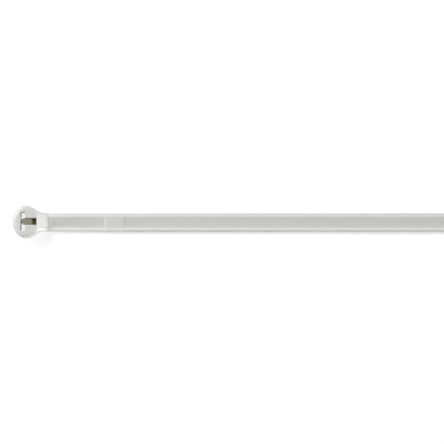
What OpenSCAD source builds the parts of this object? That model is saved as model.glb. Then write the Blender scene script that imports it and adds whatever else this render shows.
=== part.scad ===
// Self-locking nylon cable tie with a steel locking barb in a round head.
// It lies flat, exit side of the head up, with the strap along +X.
// The origin is the middle of the strap slot, on the flat underside.

/* [Strap] */
// Length of the whole tie, from the nose of the head to the tip of the tail
tie_length = 186; // [120:1:360]
// Width of the strap
strap_w = 4.7; // [3.6:0.1:5.4]
// Thickness of the strap
strap_t = 1; // [0.8:0.05:1.3]
// Radius of the strap's upper edges
strap_edge_r = 0.35; // [0.1:0.05:0.45]
// Radius of the lower edges, all the way round
under_edge_r = 0.25; // [0.05:0.05:0.35]

/* [Channel in the upper face] */
// Depth of the channel below the two side rails
channel_depth = 0.12; // [0.04:0.01:0.25]
// Width of the raised rail at each edge
rail_w = 0.75; // [0.5:0.05:1]
// Width of the channel's sloping side
channel_side_w = 0.6; // [0.1:0.05:0.7]
// Length of the slope at each end of the channel
channel_end = 0.5; // [0.2:0.1:1]
// Length of the bare marking field behind the head
field_length = 14.3; // [6:0.1:20]
// Length of the plain land between the marking field and the channel
land_length = 4.5; // [2:0.1:8]

/* [Head] */
// Width of the head across its shoulders
head_w = 8.3; // [7.2:0.1:9.6]
// Height of the head
head_h = 3.8; // [3.2:0.1:4.6]
// Distance from the slot's middle to the nose
nose_length = 2.65; // [2.2:0.05:3.2]
// Plan radius of the nose
nose_r = 5; // [4.85:0.05:6.5]
// Plan radius of the shoulders
shoulder_r = 2.9; // [2.4:0.1:3.4]
// Angle at which the flanks run in to the neck
flank_angle = 30; // [26:1:38]
// Plan radius of the hollow between flank and strap
neck_r = 2; // [0.5:0.1:3]
// Radius of the head's upper edge
head_edge_r = 1.15; // [0.5:0.05:1.5]
// Distance from the slot's middle to the foot of the neck's ramp
ramp_foot = 6.6; // [6.4:0.05:7.5]
// Slope of the ramp from the head down to the strap
ramp_angle = 46; // [44:1:62]
// Radius where the ramp leaves the head's top
ramp_top_r = 0.6; // [0.3:0.1:1.2]
// Radius where the ramp meets the strap
ramp_foot_r = 0.9; // [0.1:0.05:1.1]

/* [Slot] */
// Clearance of the strap's thickness in the slot
slot_play = 0.15; // [0.08:0.01:0.3]
// Clearance of each edge of the strap in the slot
slot_side_play = 0.06; // [0.03:0.01:0.15]
// Radius of the slot's corners
slot_corner_r = 0.25; // [0.1:0.05:0.4]
// How far the slot's mouth is widened each way on the underside
lead_in = 0.3; // [0.1:0.05:0.5]
// Height of the widened mouth
lead_in_h = 0.6; // [0.3:0.1:1]

/* [Barb] */
// Width of the steel barb
barb_w = 1.7; // [1.2:0.05:2.2]
// Thickness of the steel barb
barb_t = 0.25; // [0.15:0.01:0.35]
// Slope of the tongue, which rises from the knee to the slot
tongue_angle = 18; // [12:1:24]
// Slope of the leg, which runs from the knee down into the nylon
leg_angle = 38; // [30:1:42]
// Inner radius of the knee
knee_r = 0.4; // [0.2:0.05:0.8]
// Distance from the slot's middle to the knee
knee_x = 2.3; // [2.1:0.05:2.5]
// Height of the knee's underside
knee_z = 2.15; // [2:0.05:2.3]
// How far the tongue's tip reaches past the wall into the slot
barb_bite = 0.9; // [0.5:0.05:1]
// Length of the bevel on the tongue's tip
barb_bevel = 0.25; // [0.1:0.05:0.4]
// Size of the snipped corners of the tongue's tip
barb_corner = 0.45; // [0.2:0.05:0.7]
// Height of the leg's buried end above the underside
leg_end_z = 0.5; // [0.4:0.05:0.9]
// Clearance between the barb and the nylon round it
barb_fit = 0.01; // [0.005:0.005:0.02]
// Distance from the slot's middle to the far end of the window
window_length = 3.6; // [3.3:0.05:3.8]
// Clearance between the tongue and each side of the window
window_play = 0.06; // [0.03:0.01:0.2]
// Width of the chamfer round the window
window_chamfer = 0.15; // [0.05:0.05:0.25]

/* [Tail] */
// Length over which the tail narrows to its tip
tail_length = 34; // [20:1:60]
// Width of the tip
tail_tip_w = 2.2; // [1.6:0.1:3]
// Thickness at the tip
tail_tip_t = 0.65; // [0.5:0.05:0.8]
// Number of finger grooves across each face of the tail
grip_count = 12; // [4:1:16]
// Spacing of the finger grooves
grip_pitch = 1.5; // [1.2:0.1:2]
// Depth of a finger groove
grip_depth = 0.1; // [0.05:0.01:0.15]
// Radius of a finger groove
grip_r = 0.5; // [0.3:0.05:0.7]
// Plain length between the start of the tail and the first groove
grip_start = 3; // [1:0.5:6]

/* [Hidden] */
nylon_colour = [0.86, 0.86, 0.84];
steel_colour = [0.55, 0.53, 0.46];
through = 1; // how far a cutting shape runs past what it cuts
edge_flat = 0.1; // narrowest flat between an edge radius and the rail's inner side
rail_flat = 0.3; // widest such flat on the head
under_wall = 0.05; // least upright wall between the upper and the lower edge radius
middle_flat = 0.3; // flat between the rail's slope and the place where a section turns square
middle_share = 0.9; // share of a section's reach by which it has turned square

// Places along X
nose_x = -nose_length;
tip_x = tie_length - nose_length;
tail_x = tip_x - tail_length;
slot_t = strap_t + slot_play;
slot_w = strap_w + 2 * slot_side_play;
field_x = ramp_foot + channel_end / 2;
land_x = field_x + field_length;
channel_x = land_x + land_length;
channel_end_x = tail_x - grip_start;

// Plan outline: the nose arc, a shoulder arc inside it, a straight flank and a hollow neck.
// Each is tangent to the next.
nose_c = [nose_x + nose_r, 0];
shoulder_y = head_w / 2 - shoulder_r;
shoulder_c = [nose_c.x - sqrt(pow(nose_r - shoulder_r, 2) - pow(shoulder_y, 2)), shoulder_y];
shoulder_start = atan2(shoulder_y, shoulder_c.x - nose_c.x);
flank_normal = 90 - flank_angle;
neck_y = strap_w / 2 + neck_r;
neck_x = shoulder_c.x
    + (shoulder_r + neck_r - (neck_y - shoulder_y) * sin(flank_normal)) / cos(flank_normal);

// The tail's straight taper touches the round tip
tip_r = tail_tip_w / 2;
tip_c = tip_x - tip_r;
tail_angle = atan2(strap_w / 2, tip_c - tail_x) - asin(tip_r / norm([tip_c - tail_x, strap_w / 2]));

// The ramp's two blend arcs and the straight between them
ramp_drop = head_h - strap_t;
ramp_top_x = ramp_foot - ramp_drop / tan(ramp_angle) - (ramp_top_r + ramp_foot_r) * tan(ramp_angle / 2);
ramp_top_end = ramp_top_x + ramp_top_r * sin(ramp_angle);
ramp_foot_start = ramp_foot - ramp_foot_r * sin(ramp_angle);

// Facets of each curve
NOSE_STEPS = 7;
SHOULDER_STEPS = 9;
FLANK_STEPS = 5;
NECK_STEPS = 6;
RAMP_STEPS = 6;
TIP_STEPS = 6;
EDGE_STEPS = 6;
UNDER_STEPS = 3;
KNEE_STEPS = 6;
CORNER_FACETS = 24;
GROOVE_FACETS = 32;

function clamp(v) = max(0, min(1, v));
function mix(a, b, share) = a + (b - a) * share;

// Height of the upper face on the centre line, without the channel
function top_z(x) =
    x < ramp_top_x ? head_h
    : x < ramp_top_end ? head_h - ramp_top_r + sqrt(pow(ramp_top_r, 2) - pow(x - ramp_top_x, 2))
    : x < ramp_foot_start ?
        head_h - ramp_top_r * (1 - cos(ramp_angle)) - (x - ramp_top_end) * tan(ramp_angle)
    : x < ramp_foot ? strap_t + ramp_foot_r - sqrt(pow(ramp_foot_r, 2) - pow(ramp_foot - x, 2))
    : mix(strap_t, tail_tip_t, clamp((x - tail_x) / tail_length));

// Radius of the upper edge: large on the head, small on the strap, never more than half the thickness
function edge_r(x) = min(
    mix(strap_edge_r, head_edge_r, clamp((top_z(x) - strap_t) / ramp_drop)),
    top_z(x) / 2
);

// 1 inside a recess from x0 to x1, 0 outside it, with a slope at each end
function recess(x, x0, x1) = clamp(min(x - x0, x1 - x) / channel_end);
function channel_z(x) = channel_depth * (recess(x, field_x, land_x) + recess(x, channel_x, channel_end_x));

// A station of the plan outline is [x, y, outward normal x, outward normal y, distance to the centre line]
function station(p, normal_angle, reach) = [p.x, p.y, cos(normal_angle), sin(normal_angle), reach];
function arc_station(c, r, a, reach) = station([c.x + r * cos(a), c.y + r * sin(a)], a, reach);
function edge_station(x) = station([x, strap_w / 2], 90, strap_w / 2);
function reach_at(y, normal_angle) = y / sin(normal_angle);

nose_stations = [
    for (i = [0:NOSE_STEPS - 1])
        arc_station(nose_c, nose_r, mix(180, shoulder_start, i / NOSE_STEPS), nose_r)
];
shoulder_stations = [
    for (i = [0:SHOULDER_STEPS])
        let (a = mix(shoulder_start, flank_normal, i / SHOULDER_STEPS))
            arc_station(shoulder_c, shoulder_r, a, reach_at(shoulder_c.y + shoulder_r * sin(a), a))
];
neck_stations = [
    for (i = [0:NECK_STEPS])
        let (a = mix(flank_normal, 90, i / NECK_STEPS), y = neck_y - neck_r * sin(a))
            station([neck_x - neck_r * cos(a), y], a, reach_at(y, a))
];
flank_stations = [
    for (i = [1:FLANK_STEPS - 1])
        let (
            p = mix(shoulder_stations[SHOULDER_STEPS], neck_stations[0], i / FLANK_STEPS)
        )
            station(p, flank_normal, reach_at(p.y, flank_normal))
];
ramp_stations = [
    for (i = [1:RAMP_STEPS]) edge_station(mix(neck_x, ramp_foot, i / RAMP_STEPS))
];
seam_station = edge_station(ramp_foot);
channel_stations = [
    for (x = [field_x, field_x + channel_end, land_x - channel_end, land_x,
              channel_x, channel_x + channel_end, channel_end_x - channel_end, channel_end_x])
        edge_station(x)
];
tail_stations = [
    edge_station(tail_x),
    for (i = [0:TIP_STEPS]) arc_station([tip_c, 0], tip_r, mix(90 - tail_angle, 0, i / TIP_STEPS), tip_r)
];
// The head ends in the section at the ramp's foot, and the strap starts in the same section
head_stations = concat(nose_stations, shoulder_stations, flank_stations, neck_stations, ramp_stations);
strap_stations = concat([seam_station], channel_stations, tail_stations);

// A point of the section at a station, inset from the outline along its normal
function inset_point(s, inset, z) = [s[0] - inset * s[2], s[1] - inset * s[3], z];
function on_top(s, inset, drop) =
    let (p = inset_point(s, inset, 0)) [p.x, p.y, top_z(p.x) - drop(p.x)];

// Half of a section, from the underside's centre line round the edge to the upper centre line
function half_section(s) =
    let (
        r = edge_r(s[0]),
        share = s[4] / (strap_w / 2),
        low_r = min(under_edge_r, top_z(s[0]) - r - under_wall),
        rail = max(r + edge_flat, min(rail_w * share, max(rail_w, r + rail_flat))),
        floor_edge = rail + channel_side_w * min(1, share),
        middle = min(floor_edge + middle_flat, middle_share * s[4]),
        centre_x = s[0] - middle * s[2]
    )
    concat(
        [[centre_x, 0, 0]],
        [for (i = [0:UNDER_STEPS])
            let (a = 90 * i / UNDER_STEPS)
                inset_point(s, low_r * (1 - sin(a)), low_r * (1 - cos(a)))],
        [for (i = [0:EDGE_STEPS])
            let (a = 90 * i / EDGE_STEPS)
                on_top(s, r * (1 - cos(a)), function (x) r * (1 - sin(a)))],
        [on_top(s, rail, function (x) 0),
         on_top(s, floor_edge, function (x) channel_z(x)),
         [centre_x, 0, top_z(centre_x) - channel_z(centre_x)]]
    );

// A whole section: the half and its mirror image, as one closed ring of points
function section(s) =
    let (half = half_section(s), top = len(half) - 1)
    concat(half, [for (j = [top - 1:-1:1]) [half[j].x, -half[j].y, half[j].z]]);

// A solid through the sections of all its stations. At the nose and the tip a section has no
// width, so its two halves are one line of points; any other end is closed by a flat cap.
module loft(run) {
    sections = [for (s = run) section(s)];
    last = len(run) - 1;
    ring = len(sections[0]);
    top = ring / 2;
    function folded(i) = run[i][1] == 0;
    function index(i, j) = let (k = j % ring) i * ring + (folded(i) ? min(k, ring - k) : k);
    // Each four-sided patch is split so that no triangle lies flat along the centre line
    patches = [
        for (i = [0:last - 1], j = [0:ring - 1])
            let (
                a = index(i, j), b = index(i, j + 1), c = index(i + 1, j + 1), d = index(i + 1, j),
                near_side = j < top,
                lower = min(j, ring - 1 - j) < top / 2,
                to_tip = folded(last) && i == last - 1
            )
            each near_side == (lower != to_tip) ? [[a, c, b], [a, d, c]] : [[a, d, b], [b, d, c]]
    ];
    caps = [
        for (end = [0, last], j = [1:ring - 2])
            if (!folded(end))
                let (near = index(end, j), far = index(end, j + 1))
                end == 0 ? [index(end, 0), near, far] : [index(end, 0), far, near]
    ];
    polyhedron([for (section = sections) each section], concat(patches, caps));
}

module rounded_rectangle(size, r) {
    square([size.x, size.y - 2 * r], center = true);
    square([size.x - 2 * r, size.y], center = true);
    for (x = [-1, 1], y = [-1, 1])
        translate([x * (size.x / 2 - r), y * (size.y / 2 - r)]) circle(r, $fn = CORNER_FACETS);
}

// The slot that takes the strap, with its mouth widened on the underside
module strap_slot() {
    translate([0, 0, -through])
        linear_extrude(head_h + 2 * through)
            rounded_rectangle([slot_t, slot_w], slot_corner_r);
    hull() {
        translate([0, 0, -through / 2])
            cube([slot_t + 2 * lead_in, slot_w + 2 * lead_in, through], center = true);
        translate([0, 0, lead_in_h / 2]) cube([slot_t, slot_w, lead_in_h], center = true);
    }
}

// Lays a profile drawn in X and Z across the tie, centred on its width
module across(width) {
    translate([0, width / 2, 0]) rotate([90, 0, 0]) linear_extrude(width) children();
}

// Side view of the barb: a steep leg, the knee and a shallow tongue, grown all round by a clearance
module barb_profile(grow) {
    low = knee_r - grow;
    high = knee_r + barb_t + grow;
    function knee_point(i, r) = barb_point(mix(leg_angle, tongue_angle, i / KNEE_STEPS), r, 0);
    polygon(concat(
        [barb_point(leg_angle, low, leg_length + grow)],
        [for (i = [0:KNEE_STEPS]) knee_point(i, low)],
        [barb_point(tongue_angle, low, -tongue_length - grow),
         barb_point(tongue_angle, high, barb_bevel - tongue_length)],
        [for (i = [KNEE_STEPS:-1:0]) knee_point(i, high)],
        [barb_point(leg_angle, high, leg_length + grow)]
    ));
}

// The way from the barb's lower face to its upper face, where it slopes by an angle
function upward(slope) = [sin(slope), cos(slope)];

// A point in side view: out from the knee's centre to a radius, then a distance along the strip
function barb_point(slope, r, distance) =
    knee_centre + r * upward(slope) + distance * [cos(slope), -sin(slope)];

// The knee's centre lies below it. The tongue ends in the slot and the leg low in the nylon.
knee_centre = [knee_x, knee_z] - knee_r * upward((leg_angle + tongue_angle) / 2);
tip_edge_x = slot_t / 2 - barb_bite;
tongue_length = (knee_centre.x + knee_r * sin(tongue_angle) - tip_edge_x) / cos(tongue_angle);
leg_length = (knee_centre.y + knee_r * cos(leg_angle) - leg_end_z) / sin(leg_angle);

module barb_shape(grow) {
    width = barb_w + 2 * grow;
    intersection() {
        across(width) barb_profile(grow);
        linear_extrude(head_h)
            polygon([[ramp_foot, -width / 2], [ramp_foot, width / 2],
                     [tip_edge_x + barb_corner, width / 2],
                     [tip_edge_x - grow, width / 2 - barb_corner],
                     [tip_edge_x - grow, barb_corner - width / 2],
                     [tip_edge_x + barb_corner, -width / 2]]);
    }
}

// The window above the barb, open to the slot, with a chamfered rim. Its floor is the barb's middle.
module barb_window() {
    width = barb_w + 2 * window_play;
    knee = knee_centre + (knee_r + barb_t / 2) * upward((leg_angle + tongue_angle) / 2);
    across(width)
        polygon([[0, knee.y + knee.x * tan(tongue_angle)], knee,
                 [window_length, knee.y - (window_length - knee.x) * tan(leg_angle)],
                 [window_length, head_h + through], [0, head_h + through]]);
    hull() {
        translate([0, -width / 2, head_h - window_chamfer]) cube([window_length, width, window_chamfer]);
        translate([0, -width / 2 - window_chamfer, head_h])
            cube([window_length + window_chamfer, width + 2 * window_chamfer, through]);
    }
}

// Finger grooves across both faces of the tail
module grip_grooves() {
    for (i = [0:grip_count - 1]) {
        x = tail_x + grip_start + i * grip_pitch;
        for (z = [top_z(x) + grip_r - grip_depth, grip_depth - grip_r])
            translate([x, 0, z])
                rotate([90, 0, 0])
                    cylinder(h = 2 * strap_w, r = grip_r, center = true, $fn = GROOVE_FACETS);
    }
}

// The head and its neck, down to the foot of the ramp
module head() {
    color(nylon_colour)
        difference() {
            loft(head_stations);
            strap_slot();
            barb_window();
            barb_shape(barb_fit);
        }
}

// The strap and its tail, which run on from the head's last section as the same nylon
module strap() {
    color(nylon_colour)
        difference() {
            loft(strap_stations);
            grip_grooves();
        }
}

// The bent steel strip that bites into the strap
module locking_barb() {
    color(steel_colour) barb_shape(0);
}

head();
strap();
locking_barb();
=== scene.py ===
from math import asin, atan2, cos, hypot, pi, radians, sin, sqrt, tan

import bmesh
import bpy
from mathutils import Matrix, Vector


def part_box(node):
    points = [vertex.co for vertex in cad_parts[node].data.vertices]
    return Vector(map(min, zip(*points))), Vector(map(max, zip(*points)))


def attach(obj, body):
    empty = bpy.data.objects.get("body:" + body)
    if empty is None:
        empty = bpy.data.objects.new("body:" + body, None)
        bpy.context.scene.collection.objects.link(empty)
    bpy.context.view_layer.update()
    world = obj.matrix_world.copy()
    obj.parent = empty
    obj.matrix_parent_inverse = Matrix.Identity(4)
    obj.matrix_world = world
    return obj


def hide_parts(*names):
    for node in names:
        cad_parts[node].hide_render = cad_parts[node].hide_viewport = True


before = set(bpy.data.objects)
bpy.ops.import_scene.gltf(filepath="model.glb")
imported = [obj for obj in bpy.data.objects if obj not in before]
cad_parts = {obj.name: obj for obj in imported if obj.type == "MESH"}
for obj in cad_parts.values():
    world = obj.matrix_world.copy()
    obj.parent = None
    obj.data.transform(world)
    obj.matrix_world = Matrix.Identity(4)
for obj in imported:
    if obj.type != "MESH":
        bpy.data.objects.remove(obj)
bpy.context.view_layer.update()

# %% [markdown]
# # A nylon cable tie with a steel locking barb
#
# The loaded frame holds the tie's solids, in metres: head, strap and locking barb. Here
# finer lofts take their places, because the light of a bright table shows every facet
# of a round head that is only eight millimetres wide. Head and strap become one mesh,
# as they are one moulding.

head_low, head_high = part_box("head")
strap_low, strap_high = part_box("strap")
barb_low, barb_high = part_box("locking_barb")
MM = 0.001


def in_mm(*metres):
    """The same lengths in millimetres, rounded for printing."""
    return [round(value / MM, 2) for value in metres]


print("head from", in_mm(*head_low), "to", in_mm(*head_high))
print("strap from", in_mm(*strap_low), "to", in_mm(*strap_high))
print("barb from", in_mm(*barb_low), "to", in_mm(*barb_high))

# %% [markdown]
# ## The camera
#
# The tie lies on a bright table and is seen from almost straight above, from about
# 40 cm away. At that distance the far wall of the slot shows under the near rim,
# which a camera at infinity would hide. The strap is longer than the view is wide.
# The camera comes first, so that every later piece can be judged in its picture.

# %% Camera and its distance
VIEW_CENTRE = Vector((51.0, 0.06, 1)) * MM
VIEW_DISTANCE = 415 * MM
VIEW_WIDTH = 114.2 * MM
VIEW_ELEVATION = radians(84.8)

camera_data = bpy.data.cameras.new("camera")
camera = bpy.data.objects.new("camera", camera_data)
bpy.context.collection.objects.link(camera)
towards_camera = Vector((0, -cos(VIEW_ELEVATION), sin(VIEW_ELEVATION)))
camera.location = VIEW_CENTRE + VIEW_DISTANCE * towards_camera
camera.rotation_euler = (-towards_camera).to_track_quat("-Z", "Y").to_euler()
camera_data.lens = camera_data.sensor_width * VIEW_DISTANCE / VIEW_WIDTH
bpy.context.scene.camera = camera
print("lens", round(camera_data.lens, 1), "mm")

# %% [markdown]
# ## Small mesh helpers
#
# Everything on the tie is a loft: a row of closed sections that are joined by faces.
# One function makes all of them. Its sections are lists of points in millimetres, and
# it closes both ends with a flat face where the section still has an area there.

# %% Lofting sections into a mesh
SAME_PLACE, NO_LENGTH = 1e-5, 1e-6


def object_from(bm, name):
    """Turns a bmesh in millimetres into an object in metres."""
    bmesh.ops.scale(bm, vec=(MM, MM, MM), verts=bm.verts)
    bmesh.ops.recalc_face_normals(bm, faces=bm.faces)
    mesh = bpy.data.meshes.new(name)
    bm.to_mesh(mesh)
    bm.free()
    made = bpy.data.objects.new(name, mesh)
    bpy.context.collection.objects.link(made)
    return made


def loft(sections, name):
    """Joins closed sections of equal length, and caps the two ends."""
    bm = bmesh.new()
    rings = [[bm.verts.new(point) for point in section] for section in sections]
    count = len(sections[0])
    for near, far in zip(rings, rings[1:]):
        for i in range(count):
            j = (i + 1) % count
            bm.faces.new((near[i], near[j], far[j], far[i]))
    bm.faces.new(rings[0])
    bm.faces.new(rings[-1])
    bmesh.ops.remove_doubles(bm, verts=bm.verts, dist=SAME_PLACE)
    bmesh.ops.dissolve_degenerate(bm, edges=bm.edges, dist=NO_LENGTH)
    return object_from(bm, name)


def blend_between(a, b, share):
    """The value that lies a share of the way from a to b."""
    return a + (b - a) * share


def clamp(value):
    """The value, held between 0 and 1."""
    return max(0.0, min(1.0, value))


def steps(count, include_last=True):
    """Equal shares from 0 towards 1."""
    return [i / count for i in range(count + (1 if include_last else 0))]


# %% [markdown]
# ## The moulded tie: its plan
#
# Such a tie is moulded in one shot: round head, hollow neck, strap and tail. Its plan
# is a chain of arcs and straights, each tangent to the next, so the head runs into
# the strap without a corner. Each place on the outline is kept with the direction
# that points out of it, because the rounded edges are measured along that direction.

# %% Sizes of the moulding, in millimetres
STRAP_W, STRAP_T, STRAP_EDGE_R, UNDER_EDGE_R = 4.7, 1.0, 0.35, 0.25
HEAD_W, HEAD_H, HEAD_EDGE_R = 8.3, 3.8, 1.15
NOSE_X, NOSE_R, SHOULDER_R, NECK_R = -2.65, 5.0, 2.9, 2.0
FLANK_ANGLE, RAMP_ANGLE = radians(30), radians(46)
RAMP_FOOT, RAMP_TOP_R, RAMP_FOOT_R = 6.6, 0.6, 0.9
TIP_X, TAIL_LENGTH, TIP_W, TIP_T = 183.35, 34.0, 2.2, 0.65
TAIL_X = TIP_X - TAIL_LENGTH
print("tip in the frame", in_mm(strap_high[0])[0], "and here", TIP_X)

# %% The outline's arcs
NOSE_STEPS, SHOULDER_STEPS, FLANK_STEPS, NECK_STEPS = 18, 24, 12, 14

nose_centre = NOSE_X + NOSE_R
shoulder_y = HEAD_W / 2 - SHOULDER_R
shoulder_x = nose_centre - sqrt((NOSE_R - SHOULDER_R) ** 2 - shoulder_y ** 2)
shoulder_start = atan2(shoulder_y, shoulder_x - nose_centre)
flank_normal = pi / 2 - FLANK_ANGLE
neck_y = STRAP_W / 2 + NECK_R
neck_x = shoulder_x + (
    SHOULDER_R + NECK_R - (neck_y - shoulder_y) * sin(flank_normal)
) / cos(flank_normal)
tip_r = TIP_W / 2
tip_centre = TIP_X - tip_r
tail_angle = atan2(STRAP_W / 2, tip_centre - TAIL_X) - asin(
    tip_r / hypot(tip_centre - TAIL_X, STRAP_W / 2)
)


def station(x, y, angle, reach=None):
    """A place on the outline: x, y, its outward direction and the way to the middle."""
    if reach is None:
        reach = y / sin(angle)
    return x, y, cos(angle), sin(angle), reach


def arc(cx, cy, r, start, end, count, include_last=True, reach=None):
    """Stations round a centre, from one direction to another."""
    return [
        station(cx + r * cos(a), cy + r * sin(a), a, reach)
        for a in (blend_between(start, end, s) for s in steps(count, include_last))
    ]


nose = arc(nose_centre, 0, NOSE_R, pi, shoulder_start, NOSE_STEPS, False, NOSE_R)
shoulder = arc(
    shoulder_x, shoulder_y, SHOULDER_R, shoulder_start, flank_normal, SHOULDER_STEPS
)
neck = [
    station(neck_x - NECK_R * cos(a), neck_y - NECK_R * sin(a), a)
    for a in (blend_between(flank_normal, pi / 2, s) for s in steps(NECK_STEPS))
]
flank = [
    station(
        blend_between(shoulder[-1][0], neck[0][0], s),
        blend_between(shoulder[-1][1], neck[0][1], s),
        flank_normal,
    )
    for s in steps(FLANK_STEPS, False)[1:]
]
print("the flank ends at x", round(neck[0][0], 2), "and the neck at", round(neck_x, 2))

# %% [markdown]
# ## The moulded tie: its height
#
# The head's top is flat as far as the window, falls in an S to the strap, and keeps
# the strap's thickness up to the tail. The strap's face is not flat either. A shallow
# bare field lies behind the head, then a plain land, then one long channel, and each
# leaves a rail along both edges. They are a tenth of a millimetre deep, which is just
# enough for a low light to draw their edges.

# %% Height of the upper face and of the channel
CHANNEL_DEPTH, CHANNEL_END, RAIL_W, CHANNEL_SIDE_W = 0.12, 0.5, 0.5, 1.2
FIELD_LENGTH, LAND_LENGTH, GRIP_START = 14.3, 4.5, 3.0
field = (RAMP_FOOT + CHANNEL_END / 2, RAMP_FOOT + CHANNEL_END / 2 + FIELD_LENGTH)
channel = (field[1] + LAND_LENGTH, TAIL_X - GRIP_START)
ramp_drop = HEAD_H - STRAP_T
ramp_top_x = (
    RAMP_FOOT
    - ramp_drop / tan(RAMP_ANGLE)
    - (RAMP_TOP_R + RAMP_FOOT_R) * tan(RAMP_ANGLE / 2)
)
ramp_top_end = ramp_top_x + RAMP_TOP_R * sin(RAMP_ANGLE)
ramp_foot_start = RAMP_FOOT - RAMP_FOOT_R * sin(RAMP_ANGLE)


def top_z(x):
    """Height of the upper face, without the channel."""
    if x < ramp_top_x:
        return HEAD_H
    if x < ramp_top_end:
        return HEAD_H - RAMP_TOP_R + sqrt(RAMP_TOP_R ** 2 - (x - ramp_top_x) ** 2)
    if x < ramp_foot_start:
        arc_drop = RAMP_TOP_R * (1 - cos(RAMP_ANGLE))
        return HEAD_H - arc_drop - (x - ramp_top_end) * tan(RAMP_ANGLE)
    if x < RAMP_FOOT:
        return STRAP_T + RAMP_FOOT_R - sqrt(RAMP_FOOT_R ** 2 - (RAMP_FOOT - x) ** 2)
    return blend_between(STRAP_T, TIP_T, clamp((x - TAIL_X) / TAIL_LENGTH))


def edge_radius(x):
    """Radius of the upper edge, which shrinks from head to strap."""
    share = clamp((top_z(x) - STRAP_T) / ramp_drop)
    return min(blend_between(STRAP_EDGE_R, HEAD_EDGE_R, share), top_z(x) / 2)


def ease(value):
    """A step from 0 to 1 without corners."""
    value = clamp(value)
    return value * value * (3 - 2 * value)


def channel_z(x):
    """How deep the channel's floor lies at x."""
    return CHANNEL_DEPTH * sum(
        ease(min(x - start, end - x) / CHANNEL_END) for start, end in (field, channel)
    )


for x in (0, 3.5, 5, 10, 22, 60, TIP_X):
    print("at x", x, "the tie is", round(top_z(x) - channel_z(x), 2), "mm thick")

# %% [markdown]
# ## The moulded tie: its sections
#
# A section starts under the middle of the tie, rounds the lower edge, climbs the wall,
# rounds the upper edge, crosses the rail and drops to the channel's floor. The other
# half is its mirror image. Away from the head a section every few millimetres is
# plenty, but the ends of the channel need several to make their soft slopes.

# %% Sections and the lofted body
EDGE_FLAT, RAIL_FLAT, UNDER_WALL = 0.1, 0.3, 0.05
MIDDLE_FLAT, MIDDLE_SHARE = 0.3, 0.9
UNDER_STEPS, EDGE_STEPS, SIDE_STEPS = 5, 9, 8
RAMP_STEPS, SLOPE_STEPS, SPAN_STEPS, TAIL_STEPS, TIP_STEPS = 8, 5, 24, 16, 12


def section(here):
    """The closed outline of the tie's cross-section at one station."""
    x, y, out_x, out_y, reach = here
    r = edge_radius(x)
    share = reach / (STRAP_W / 2)
    low_r = min(UNDER_EDGE_R, top_z(x) - r - UNDER_WALL)
    rail = max(r + EDGE_FLAT, min(RAIL_W * share, max(RAIL_W, r + RAIL_FLAT)))
    floor_edge = rail + CHANNEL_SIDE_W * min(share, 1 / share)
    middle = min(floor_edge + MIDDLE_FLAT, MIDDLE_SHARE * reach)
    middle_x = x - middle * out_x
    half = [(middle_x, 0, 0)]
    for s in steps(UNDER_STEPS):
        a = s * pi / 2
        inset = low_r * (1 - sin(a))
        half.append((x - inset * out_x, y - inset * out_y, low_r * (1 - cos(a))))
    for s in steps(EDGE_STEPS):
        a = s * pi / 2
        inset = r * (1 - cos(a))
        px = x - inset * out_x
        half.append((px, y - inset * out_y, top_z(px) - r * (1 - sin(a))))
    for s in steps(SIDE_STEPS):
        inset = blend_between(rail, floor_edge, s)
        px = x - inset * out_x
        half.append((px, y - inset * out_y, top_z(px) - ease(s) * channel_z(px)))
    half.append((middle_x, 0, top_z(middle_x) - channel_z(middle_x)))
    mirrored = [(px, -py, pz) for px, py, pz in reversed(half[1:-1])]
    return half + mirrored


def straight(start, end, count):
    """Stations along the strap's straight edge."""
    return [
        station(blend_between(start, end, s), STRAP_W / 2, pi / 2) for s in steps(count)
    ]


stations = nose + shoulder + flank + neck
stations += straight(neck_x, ramp_foot_start, RAMP_STEPS)[1:]
stations += straight(ramp_foot_start, RAMP_FOOT, SLOPE_STEPS)[1:]
for start, end in (field, channel):
    stations += straight(start, start + CHANNEL_END, SLOPE_STEPS)
    stations += straight(start + CHANNEL_END, end - CHANNEL_END, SPAN_STEPS)[1:-1]
    stations += straight(end - CHANNEL_END, end, SLOPE_STEPS)
stations.append(station(TAIL_X, STRAP_W / 2, pi / 2))
tip = arc(tip_centre, 0, tip_r, pi / 2 - tail_angle, 0, TIP_STEPS, True, tip_r)
stations += [
    station(
        blend_between(TAIL_X, tip[0][0], s),
        blend_between(STRAP_W / 2, tip[0][1], s),
        pi / 2 - tail_angle,
    )
    for s in steps(TAIL_STEPS, False)[1:]
]
stations += tip
tie = loft([section(here) for here in stations], "nylon_tie")
print(len(stations), "sections,", len(tie.data.polygons), "faces")

# %% [markdown]
# ## Cutting the slot and the window
#
# The strap passes up through a slot whose mouth is widened underneath, so that a
# blunt tail finds its way in. Above the barb a window opens the head, because the
# steel tongue needs air to spring up into. Both are cut with prisms that flare where
# they meet a face, which leaves the soft broken edge of a moulded hole.

# %% Cutting shapes
SLOT_T, SLOT_W, SLOT_R = 1.15, 4.82, 0.25
LEAD_IN, LEAD_IN_H, RIM = 0.3, 0.6, 0.12
WINDOW_END, WINDOW_PLAY, WINDOW_R = 3.6, 0.06, 0.02
CORNERS = ((1, 1, 0), (-1, 1, 90), (-1, -1, 180), (1, -1, 270))
CORNER_STEPS, RIM_STEPS = 5, 4
PAST = 1.0  # how far a cutter runs past the face that it opens


def rounded_rectangle(width, depth, r, grow):
    """Points of a rectangle with round corners, grown outward by a distance."""
    r = r + grow
    points = []
    for sx, sy, start in CORNERS:
        for s in steps(CORNER_STEPS):
            a = radians(start + 90 * s)
            points.append((
                sx * (width / 2 + grow - r) + r * cos(a),
                sy * (depth / 2 + grow - r) + r * sin(a),
            ))
    return points


def flared_prism(name, width, depth, r, centre_x, levels):
    """A rounded prism, given as heights and how far it is grown at each."""
    return loft(
        [
            [(centre_x + x, y, z) for x, y in rounded_rectangle(width, depth, r, grow)]
            for z, grow in levels
        ],
        name,
    )


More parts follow.
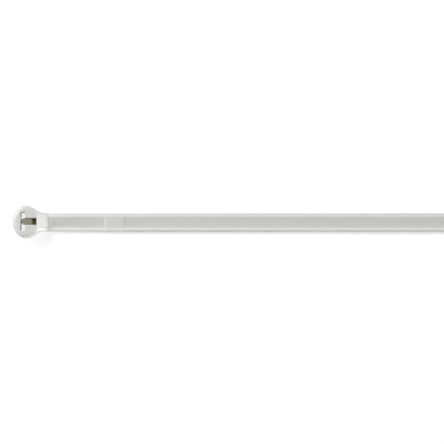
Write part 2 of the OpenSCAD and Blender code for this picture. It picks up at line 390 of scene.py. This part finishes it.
def rim_levels(z):
    """Heights and growth of a rim that rounds outward below the height z."""
    levels = [
        (z - RIM * (1 - sin(a)), RIM * (1 - cos(a)))
        for a in (s * pi / 2 for s in steps(RIM_STEPS))
    ]
    return levels + [(z + PAST, RIM)]


slot_levels = [(-PAST, LEAD_IN), (0, LEAD_IN), (LEAD_IN_H, 0)] + rim_levels(HEAD_H)
slot_cutter = flared_prism("slot_cutter", SLOT_T, SLOT_W, SLOT_R, 0, slot_levels)
print("slot leaves", round(SLOT_T - STRAP_T, 2), "mm round the strap's thickness")

# %% [markdown]
# ## The barb
#
# The barb is a strip of stainless steel, stamped and bent once. Its steep leg is
# buried in the nylon, and past the knee a shallow tongue reaches across the slot, so a
# strap can only slide past it one way. The strip is lofted along its lower face: down
# in the nylon, up the leg, round the knee and out along the tongue. The corners of its
# tip are snipped off and its sheared edges are slightly rounded.

# %% Sizes of the barb and its centre of bending
BARB_W, BARB_T, KNEE_R, KNEE_X, KNEE_Z = 1.7, 0.25, 0.4, 2.3, 2.15
TONGUE_SLOPE, LEG_SLOPE = radians(18), radians(38)
BARB_BITE, BARB_BEVEL, BARB_CORNER, LEG_END_Z, BARB_FIT = 0.9, 0.25, 0.45, 0.5, 0.01
BARB_EDGE_R, POCKET_EDGE_R, TIP_T_SHARE, LEAST_WALL = 0.035, 0.02, 0.1, 1e-3
LEG_STEPS, KNEE_STEPS, TONGUE_STEPS, BARB_EDGE_STEPS = 12, 10, 24, 3

knee_slope = (LEG_SLOPE + TONGUE_SLOPE) / 2
knee_centre_x = KNEE_X - KNEE_R * sin(knee_slope)
knee_centre_z = KNEE_Z - KNEE_R * cos(knee_slope)
tip_edge_x = SLOT_T / 2 - BARB_BITE
tongue_start_x = knee_centre_x + KNEE_R * sin(TONGUE_SLOPE)
tongue_length = (tongue_start_x - tip_edge_x) / cos(TONGUE_SLOPE)
leg_length = (knee_centre_z + KNEE_R * cos(LEG_SLOPE) - LEG_END_Z) / sin(LEG_SLOPE)


def on_barb(slope, along, up=0.0):
    """A point in side view, along the strip from the knee and up from its face."""
    r = KNEE_R + up
    return (
        knee_centre_x + r * sin(slope) + along * cos(slope),
        knee_centre_z + r * cos(slope) - along * sin(slope),
    )


print("tongue", round(tongue_length, 2), "mm, leg", round(leg_length, 2), "mm")

# %% The barb's loft
barb_path = [(LEG_SLOPE, leg_length * (1 - s)) for s in steps(LEG_STEPS, False)]
barb_path += [
    (blend_between(LEG_SLOPE, TONGUE_SLOPE, s), 0.0) for s in steps(KNEE_STEPS)
]
barb_path += [(TONGUE_SLOPE, -tongue_length * s) for s in steps(TONGUE_STEPS)[1:]]


def barb_section(slope, along, grow, edge):
    """One cross-section of the strip, with its edges rounded off."""
    x, z = on_barb(slope, along)
    half = BARB_W / 2 + grow
    half = min(half, half - BARB_CORNER + max(0, x - tip_edge_x))
    thick = BARB_T
    if slope == TONGUE_SLOPE:
        thick *= clamp(TIP_T_SHARE + (tongue_length + along) / BARB_BEVEL)
    low, high = -grow, thick + grow
    edge = min(edge, (high - low) / 2 - LEAST_WALL)
    points = []
    for sy, sz, start in CORNERS:
        for s in steps(BARB_EDGE_STEPS):
            c = radians(start + 90 * s)
            y = sy * (half - edge) + edge * cos(c)
            up = (high - edge if sz > 0 else low + edge) + edge * sin(c)
            points.append((x + up * sin(slope), y, z + up * cos(slope)))
    return points


barb = loft(
    [barb_section(*place, 0, BARB_EDGE_R) for place in barb_path], "steel_barb"
)
print(len(barb.data.polygons), "faces, with the tip at x", round(tip_edge_x, 2))

# %% [markdown]
# ## The bed under the barb
#
# The nylon follows the barb from below, and the window takes away all that lies over
# it. A pocket of the barb's own shape, a hair larger, holds the root. The cutting
# itself is left to the exact Boolean, whose result becomes the mesh at once.

# %% Cutting the moulding
GRIP_COUNT, GRIP_PITCH, GRIP_DEPTH, GRIP_R, GROOVE_STEPS = 12, 1.5, 0.1, 0.5, 48


def across(name, profile, width):
    """A side-view polygon, drawn through the tie from edge to edge of a width."""
    sides = (-width / 2, width / 2)
    return loft([[(x, y, z) for x, z in profile] for y in sides], name)


window_w = BARB_W + 2 * WINDOW_PLAY
knee_middle = on_barb(knee_slope, 0, BARB_T / 2)
slot_end_z = knee_middle[1] + knee_middle[0] * tan(TONGUE_SLOPE)
far_end_z = knee_middle[1] - (WINDOW_END - knee_middle[0]) * tan(LEG_SLOPE)
window_cutter = across(
    "window_cutter",
    [(0, slot_end_z), knee_middle, (WINDOW_END, far_end_z),
     (WINDOW_END, HEAD_H + PAST), (0, HEAD_H + PAST)],
    window_w,
)
window_rim = flared_prism(
    "window_rim", WINDOW_END, window_w, WINDOW_R, WINDOW_END / 2, rim_levels(HEAD_H)
)
pocket = loft(
    [barb_section(*place, BARB_FIT, POCKET_EDGE_R) for place in barb_path],
    "pocket_cutter",
)


def groove(name, x, z):
    """A round bar across the strap that leaves a shallow finger groove."""
    ring = [
        (x + GRIP_R * cos(2 * pi * s), z + GRIP_R * sin(2 * pi * s))
        for s in steps(GROOVE_STEPS, False)
    ]
    return across(name, ring, 2 * STRAP_W)


grooves = []
for i in range(GRIP_COUNT):
    x = TAIL_X + GRIP_START + i * GRIP_PITCH
    grooves.append(groove("groove_above", x, top_z(x) + GRIP_R - GRIP_DEPTH))
    grooves.append(groove("groove_below", x, GRIP_DEPTH - GRIP_R))


def cut(body, cutters):
    """Takes each cutter out of the body and removes the cutters."""
    for cutter in cutters:
        modifier = body.modifiers.new(cutter.name, "BOOLEAN")
        modifier.operation = "DIFFERENCE"
        modifier.solver = "EXACT"
        modifier.object = cutter
    shown = body.evaluated_get(bpy.context.evaluated_depsgraph_get())
    uncut, body.data = body.data, bpy.data.meshes.new_from_object(shown)
    body.modifiers.clear()
    bpy.data.meshes.remove(uncut)
    for cutter in cutters:
        mesh = cutter.data
        bpy.data.objects.remove(cutter)
        bpy.data.meshes.remove(mesh)


cut(tie, [slot_cutter, window_cutter, window_rim, pocket, *grooves])
print("after cutting:", len(tie.data.polygons), "faces")

# %% Smooth faces with crisp rims
CREASE = radians(28)


def shade(body):
    """Smooth shading that keeps every edge sharper than the crease angle."""
    for polygon in body.data.polygons:
        polygon.use_smooth = True
    body.data.set_sharp_from_angle(angle=CREASE)


shade(tie)
shade(barb)
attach(tie, "root")
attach(barb, "root")
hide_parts("head", "strap")
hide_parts("locking_barb")

# %% [markdown]
# ## Writing shaders as sums
#
# A shader's arithmetic reads best as arithmetic. This small class wraps a node's
# output, so that `0.4 + 0.1 * grain` makes the Math nodes by itself, and one method
# adds any other node with its settings and inputs.

# %% A socket that can be added and multiplied
class Shade:
    def __init__(self, tree, socket=None):
        self.tree = tree
        self.socket = socket

    def node(self, kind, settings=None, inputs=None, output=0):
        made = self.tree.nodes.new(kind)
        for name, value in (settings or {}).items():
            setattr(made, name, value)
        for name, value in (inputs or {}).items():
            if isinstance(value, Shade):
                self.tree.links.new(value.socket, made.inputs[name])
            else:
                made.inputs[name].default_value = value
        return Shade(self.tree, made.outputs[output])

    def math(self, operation, *values):
        return self.node(
            "ShaderNodeMath", {"operation": operation}, dict(enumerate(values))
        )

    def __add__(self, other):
        return self.math("ADD", self, other)

    def __radd__(self, other):
        return self.math("ADD", other, self)

    def __sub__(self, other):
        return self.math("SUBTRACT", self, other)

    def __rsub__(self, other):
        return self.math("SUBTRACT", other, self)

    def __mul__(self, other):
        return self.math("MULTIPLY", self, other)

    def __rmul__(self, other):
        return self.math("MULTIPLY", other, self)

    def scaled(self, vector):
        """This vector, stretched along each axis."""
        return self.node(
            "ShaderNodeVectorMath", {"operation": "MULTIPLY"}, {0: self, 1: vector}
        )

    def axis(self, name):
        """One coordinate of this vector."""
        return self.node("ShaderNodeSeparateXYZ", inputs={"Vector": self}, output=name)

    def ramp(self, low, high):
        """0 below the low value, 1 above the high one, and smooth between."""
        return self.node(
            "ShaderNodeMapRange",
            {"interpolation_type": "SMOOTHSTEP"},
            {"Value": self, "From Min": low, "From Max": high},
        )

    def between(self, first, second):
        """A colour that goes from the first to the second as this goes from 0 to 1."""
        return self.node(
            "ShaderNodeMix", {"data_type": "RGBA"}, {0: self, 6: first, 7: second}, 2
        )


def colour(r, g, b):
    """An opaque colour."""
    return (r, g, b, 1.0)


def new_material(name):
    """An empty material: its Principled shader and the position on the object in mm."""
    material = bpy.data.materials.new(name)
    material.use_nodes = True
    shader = material.node_tree.nodes["Principled BSDF"]
    start = Shade(material.node_tree)
    place = start.node("ShaderNodeTexCoord", output="Object").scaled((1 / MM,) * 3)
    return material, shader, place


def feed(shader, name, value):
    """Links a varying value to a socket, or sets a constant on it."""
    if isinstance(value, Shade):
        value.tree.links.new(value.socket, shader.inputs[name])
    else:
        shader.inputs[name].default_value = value


def noise(place, scale, detail=2.0):
    """Soft random values from 0 to 1; a larger scale makes finer ones."""
    inputs = {"Vector": place, "Scale": scale, "Detail": detail}
    return place.node("ShaderNodeTexNoise", inputs=inputs, output="Fac")


def bumps(height, distance, strength=1.0):
    """A normal that follows a height, with its depth in millimetres."""
    return height.node(
        "ShaderNodeBump",
        inputs={"Height": height, "Distance": distance * MM, "Strength": strength},
    )


# %% [markdown]
# ## Natural nylon
#
# Undyed nylon is milky: light goes in a little way, wanders and comes out beside the
# place where it entered. The mould leaves a satin skin with a fine grain, and the melt
# leaves faint clouds along the strap where it flowed. The colour also carries painted
# light in the same few widths: a painted highlight makes the rails paler, and painted
# shade darkens the channel's floor, most of all in the bare field behind the head.

# %% Nylon material
# Widths and lengths in millimetres of the painted highlight on the rails and the
# painted shade in the channel.
FLOOR_SIDE, RAIL_INSIDE, RAIL_OUTSIDE = (0.8, 1.7), (1.2, 1.6), (1.9, 2.15)
FIELD_TO_CHANNEL = (10, 22)

nylon, shader, place = new_material("natural_nylon")
clouds = noise(place.scaled((0.12, 0.6, 0.6)), 1.0, 3.0).ramp(0.35, 0.7)
milky = clouds.between(colour(0.645, 0.645, 0.63), colour(0.68, 0.68, 0.665))
height = place.axis("Z")
from_middle = place.axis("Y").math("ABSOLUTE", place.axis("Y"))
# Painted shade: the channel's floor, where the nylon is thinnest, is painted darker.
in_channel = (
    (1 - height.ramp(STRAP_T - CHANNEL_DEPTH, STRAP_T))
    * (1 - from_middle.ramp(*FLOOR_SIDE))
    * place.axis("X").ramp(RAMP_FOOT, RAMP_FOOT + CHANNEL_END)
    * (1 - place.axis("X").ramp(channel[1] - CHANNEL_END, channel[1]))
    * height.ramp(STRAP_T / 2, STRAP_T * 0.8)
)
# Painted highlight: the rails along both edges, from the neck on, are painted paler.
rail_highlight_mask = (
    from_middle.ramp(*RAIL_INSIDE)
    * (1 - from_middle.ramp(*RAIL_OUTSIDE))
    * place.axis("X").ramp(neck_x, RAMP_FOOT)
)
# The rails' painted highlight: a paler nylon colour where light catches their rounded
# edges.
nylon_with_rail_highlight = rail_highlight_mask.between(milky, colour(0.78, 0.78, 0.765))
# The painted shade is darkest in the bare field behind the head and lighter along the
# long channel.
past_field = place.axis("X").ramp(*FIELD_TO_CHANNEL)
channel_floor_shade = past_field.between(colour(0.575, 0.59, 0.57), colour(0.64, 0.64, 0.615))
feed(shader, "Base Color", in_channel.between(nylon_with_rail_highlight, channel_floor_shade))
grain = noise(place, 9.0, 3.0)
flow = noise(place.scaled((0.25, 1.6, 1.0)), 1.0, 2.0)
feed(shader, "Roughness", 0.3 + 0.1 * flow + 0.05 * grain)
feed(shader, "Normal", bumps(grain * 0.6 + flow * 0.4, 0.012, 0.6))
feed(shader, "IOR", 1.53)
feed(shader, "Subsurface Weight", 0.6)
feed(shader, "Subsurface Radius", (1.0, 0.96, 0.88))
feed(shader, "Subsurface Scale", 0.4 * MM)
tie.data.materials.clear()
tie.data.materials.append(nylon)

# %% [markdown]
# ## Stamped steel
#
# The strip is bare stainless steel with the marks of rolling along its length. It is
# a dull warm grey, and painted shade makes it darker down at its root, where it lies
# deep in the window.

# %% Steel material
steel, shader, place = new_material("stamped_steel")
rolling = noise(place.scaled((1.5, 22.0, 3.0)), 1.0, 3.0)
# Painted shade: the strip is painted darker from about 2.3 mm on, down at its root,
# with an uneven edge.
root_shade = (place.axis("X") + 0.3 * noise(place, 1.6, 2.0)).ramp(2.25, 2.6)
bright = rolling.between(colour(0.51, 0.49, 0.395), colour(0.63, 0.605, 0.505))
feed(shader, "Base Color", root_shade.between(bright, colour(0.2, 0.18, 0.11)))
feed(shader, "Metallic", 1.0)
feed(shader, "Roughness", 0.3 + 0.2 * rolling)
feed(shader, "Normal", bumps(rolling, 0.006, 0.7))
barb.data.materials.clear()
barb.data.materials.append(steel)

# %% [markdown]
# ## The table and the light
#
# The tie lies on a white table, and the camera should see that table as plain white.
# More light would wash out the pale nylon, so the table glows instead, and only for
# rays that come from the camera, a shiny surface or a clear one: the Light Path node
# tells them apart. The glow is weak enough along the strap to keep its soft shadow.
#
# The light itself is low and comes from behind on the left. It leaves the walls that
# face the viewer dark, which draws the thin line along the strap's near edge. A small
# lamp high in front softens the shadows. Two thin beams reach only the head: one makes
# the ramp its brightest face, and a weak one lifts the rim nearest to the viewer.

# %% Table
TABLE_SIZE, HEAD_GLOW, TABLE_LIFT, GLOW_EDGE = 2000, 0.8, 0.27, (2, 14)

table_bm = bmesh.new()
bmesh.ops.create_grid(table_bm, x_segments=1, y_segments=1, size=TABLE_SIZE)
table = object_from(table_bm, "table")
table.location.z = head_low[2]
table_white, shader, place = new_material("table_white")
feed(shader, "Base Color", colour(0.9, 0.9, 0.9))
feed(shader, "Roughness", 0.6 + 0.1 * noise(place, 0.05))
glow = place.node("ShaderNodeEmission", inputs={"Color": colour(1, 1, 1)})
lit = Shade(table_white.node_tree, shader.outputs["BSDF"])
seen = place.node("ShaderNodeLightPath", output="Is Camera Ray")
for kind in ("Is Glossy Ray", "Is Transmission Ray"):
    seen = seen.math("MAXIMUM", seen, place.node("ShaderNodeLightPath", output=kind))
near_head = 1 - place.axis("X").ramp(*GLOW_EDGE)
feed(shader, "Emission Color", seen * TABLE_LIFT)
feed(shader, "Emission Strength", 1.0)
share = seen * HEAD_GLOW * near_head
surface = place.node("ShaderNodeMixShader", inputs={0: share, 1: lit, 2: glow})
output = table_white.node_tree.nodes["Material Output"]
table_white.node_tree.links.new(surface.socket, output.inputs["Surface"])
table.data.materials.append(table_white)

# %% Lamps
SPOT_DISTANCE, SPOT_RADIUS, WORLD_STRENGTH = 350, 3, 0.34


def hang(name, data, location, beam):
    """Puts a lamp at a place, with its light going along the beam."""
    lamp = bpy.data.objects.new(name, data)
    lamp.location = location
    lamp.rotation_euler = beam.to_track_quat("-Z", "Y").to_euler()
    bpy.context.collection.objects.link(lamp)
    print(name, "with", data.energy, "W")


def soft_light(name, location, aim, size, power):
    """A glowing rectangle that faces a place, in metres."""
    data = bpy.data.lights.new(name, "AREA")
    data.shape = "RECTANGLE"
    data.size, data.size_y = size
    data.energy = power
    hang(name, data, location, Vector(aim) - Vector(location))


def narrow_light(name, aim, azimuth, elevation, cone, power):
    """A thin beam at a place of the head, in millimetres and degrees."""
    data = bpy.data.lights.new(name, "SPOT")
    data.energy, data.spot_size, data.spot_blend = power, radians(cone), 1.0
    data.shadow_soft_size = SPOT_RADIUS * MM
    level = cos(radians(elevation))
    out_x, out_y = cos(radians(azimuth)), sin(radians(azimuth))
    back = Vector((level * out_x, level * out_y, sin(radians(elevation))))
    hang(name, data, (Vector(aim) + SPOT_DISTANCE * back) * MM, -back)


middle = (0.06, 0, 0)
soft_light("light_behind_left", (-0.51, 0.4, 0.435), middle, (0.5, 0.3), 5.9)
soft_light("light_in_front", (0.16, -0.35, 0.6), middle, (0.25, 0.15), 0.95)
narrow_light("light_on_ramp", (4.5, 0.3, 2.7), -18, 2, 1.6, 5.6)
narrow_light("light_on_rim", (0.4, -3.6, 2.0), -60, 12, 1.3, 1.6)
world = bpy.data.worlds.new("studio")
world.use_nodes = True
background = world.node_tree.nodes["Background"]
background.inputs["Color"].default_value = colour(1, 1, 1)
background.inputs["Strength"].default_value = WORLD_STRENGTH
bpy.context.scene.world = world
bpy.context.scene.view_settings.view_transform = "Standard"
